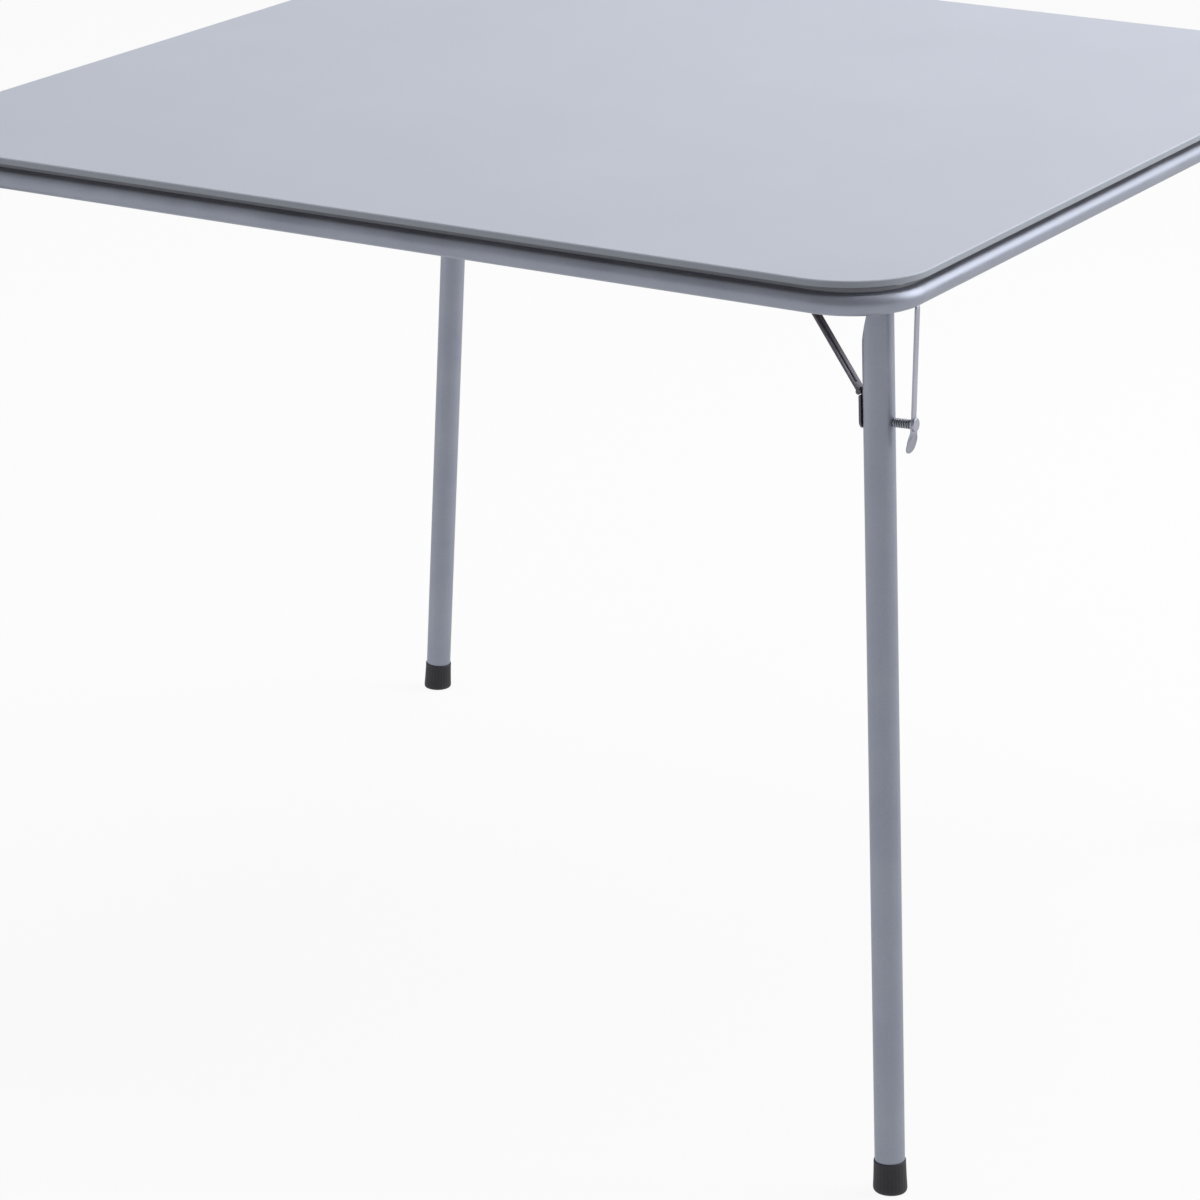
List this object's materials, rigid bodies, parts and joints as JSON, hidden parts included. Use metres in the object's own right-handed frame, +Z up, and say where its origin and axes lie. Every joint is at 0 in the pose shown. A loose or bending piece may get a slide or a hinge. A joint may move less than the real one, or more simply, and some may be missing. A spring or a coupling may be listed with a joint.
{
  "type": "folding card table",
  "caption": "Square folding card table: thin covered board on a bent tube ring, with round legs that fold flat on stays.",
  "frame": {"origin": "on the floor under the middle of the board", "axes": "+Z up; +X and +Y along the board's sides; the front corner is at -X -Y"},
  "size_m": [0.8792, 0.8792, 0.69],
  "materials": {
    "vinyl_cover": "satin grey-blue vinyl sheet with a fine grain",
    "fibreboard": "raw brown hardboard",
    "silver_paint": "silver powder coat, satin",
    "bright_steel": "rolled steel strip, bright zinc",
    "zinc": "zinc plated",
    "spring_steel": "oiled spring wire",
    "rubber": "moulded black rubber, matt"
  },
  "bodies": {
    "table_top": {"board_core": "fibreboard", "board_cover": "vinyl_cover", "ring_half_front": "silver_paint", "ring_half_back": "silver_paint", "ring_sleeves": "silver_paint", "ring_tabs": "silver_paint", "packing_strip": "rubber", "tab_screws": "zinc", "plate_screws": "zinc", "leg_bracket_front": "silver_paint", "pivot_rivet_front": "zinc", "stay_catch_front": "silver_paint", "leg_bracket_right": "silver_paint", "pivot_rivet_right": "zinc", "stay_catch_right": "silver_paint", "leg_bracket_back": "silver_paint", "pivot_rivet_back": "zinc", "stay_catch_back": "silver_paint", "leg_bracket_left": "silver_paint", "pivot_rivet_left": "zinc", "stay_catch_left": "silver_paint"},
    "leg_front": {"leg_tube_front": "silver_paint", "foot_tip_front": "rubber", "stay_tab_front": "bright_steel", "knuckle_pin_front": "zinc", "cross_stud_front": "zinc", "latch_spring_front": "spring_steel"},
    "stay_front": {"stay_link_front": "bright_steel"},
    "lever_front": {"release_lever_front": "silver_paint"},
    "leg_right": {"leg_tube_right": "silver_paint", "foot_tip_right": "rubber", "stay_tab_right": "bright_steel", "knuckle_pin_right": "zinc", "cross_stud_right": "zinc", "latch_spring_right": "spring_steel"},
    "stay_right": {"stay_link_right": "bright_steel"},
    "lever_right": {"release_lever_right": "silver_paint"},
    "leg_back": {"leg_tube_back": "silver_paint", "foot_tip_back": "rubber", "stay_tab_back": "bright_steel", "knuckle_pin_back": "zinc", "cross_stud_back": "zinc", "latch_spring_back": "spring_steel"},
    "stay_back": {"stay_link_back": "bright_steel"},
    "lever_back": {"release_lever_back": "silver_paint"},
    "leg_left": {"leg_tube_left": "silver_paint", "foot_tip_left": "rubber", "stay_tab_left": "bright_steel", "knuckle_pin_left": "zinc", "cross_stud_left": "zinc", "latch_spring_left": "spring_steel"},
    "stay_left": {"stay_link_left": "bright_steel"},
    "lever_left": {"release_lever_left": "silver_paint"}
  },
  "joints": [
    {"name": "leg_fold_front", "type": "hinge", "parent": "table_top", "child": "leg_front", "pos_m": [-0.368, -0.399, 0.6625], "axis": [1, 0, 0], "range_deg": [0, 92.8]},
    {"name": "stay_swing_front", "type": "hinge", "parent": "leg_front", "child": "stay_front", "pos_m": [-0.368, -0.38391, 0.59849], "axis": [1, 0, 0], "range_deg": [-146.7, 0]},
    {"name": "lever_turn_front", "type": "hinge", "parent": "leg_front", "child": "lever_front", "pos_m": [-0.368, -0.42479, 0.58046], "axis": [0, 0.9988, -0.0489], "range_deg": [0, 20]},
    {"name": "leg_fold_right", "type": "hinge", "parent": "table_top", "child": "leg_right", "pos_m": [0.399, -0.368, 0.6625], "axis": [0, 1, 0], "range_deg": [0, 92.8]},
    {"name": "stay_swing_right", "type": "hinge", "parent": "leg_right", "child": "stay_right", "pos_m": [0.38391, -0.368, 0.59849], "axis": [0, 1, 0], "range_deg": [-146.7, 0]},
    {"name": "lever_turn_right", "type": "hinge", "parent": "leg_right", "child": "lever_right", "pos_m": [0.42479, -0.368, 0.58046], "axis": [-0.9988, 0, -0.0489], "range_deg": [0, 20]},
    {"name": "leg_fold_back", "type": "hinge", "parent": "table_top", "child": "leg_back", "pos_m": [0.368, 0.399, 0.6625], "axis": [-1, 0, 0], "range_deg": [0, 92.8]},
    {"name": "stay_swing_back", "type": "hinge", "parent": "leg_back", "child": "stay_back", "pos_m": [0.368, 0.38391, 0.59849], "axis": [-1, 0, 0], "range_deg": [-146.7, 0]},
    {"name": "lever_turn_back", "type": "hinge", "parent": "leg_back", "child": "lever_back", "pos_m": [0.368, 0.42479, 0.58046], "axis": [0, -0.9988, -0.0489], "range_deg": [0, 20]},
    {"name": "leg_fold_left", "type": "hinge", "parent": "table_top", "child": "leg_left", "pos_m": [-0.399, 0.368, 0.6625], "axis": [0, -1, 0], "range_deg": [0, 92.8]},
    {"name": "stay_swing_left", "type": "hinge", "parent": "leg_left", "child": "stay_left", "pos_m": [-0.38391, 0.368, 0.59849], "axis": [0, -1, 0], "range_deg": [-146.7, 0]},
    {"name": "lever_turn_left", "type": "hinge", "parent": "leg_left", "child": "lever_left", "pos_m": [-0.42479, 0.368, 0.58046], "axis": [0.9988, 0, -0.0489], "range_deg": [0, 20]}
  ],
  "couplings": [
    {"joint": "stay_swing_front", "follows": "leg_fold_front", "ratio": -1.5808},
    {"joint": "stay_swing_right", "follows": "leg_fold_right", "ratio": -1.5808},
    {"joint": "stay_swing_back", "follows": "leg_fold_back", "ratio": -1.5808},
    {"joint": "stay_swing_left", "follows": "leg_fold_left", "ratio": -1.5808}
  ]
}
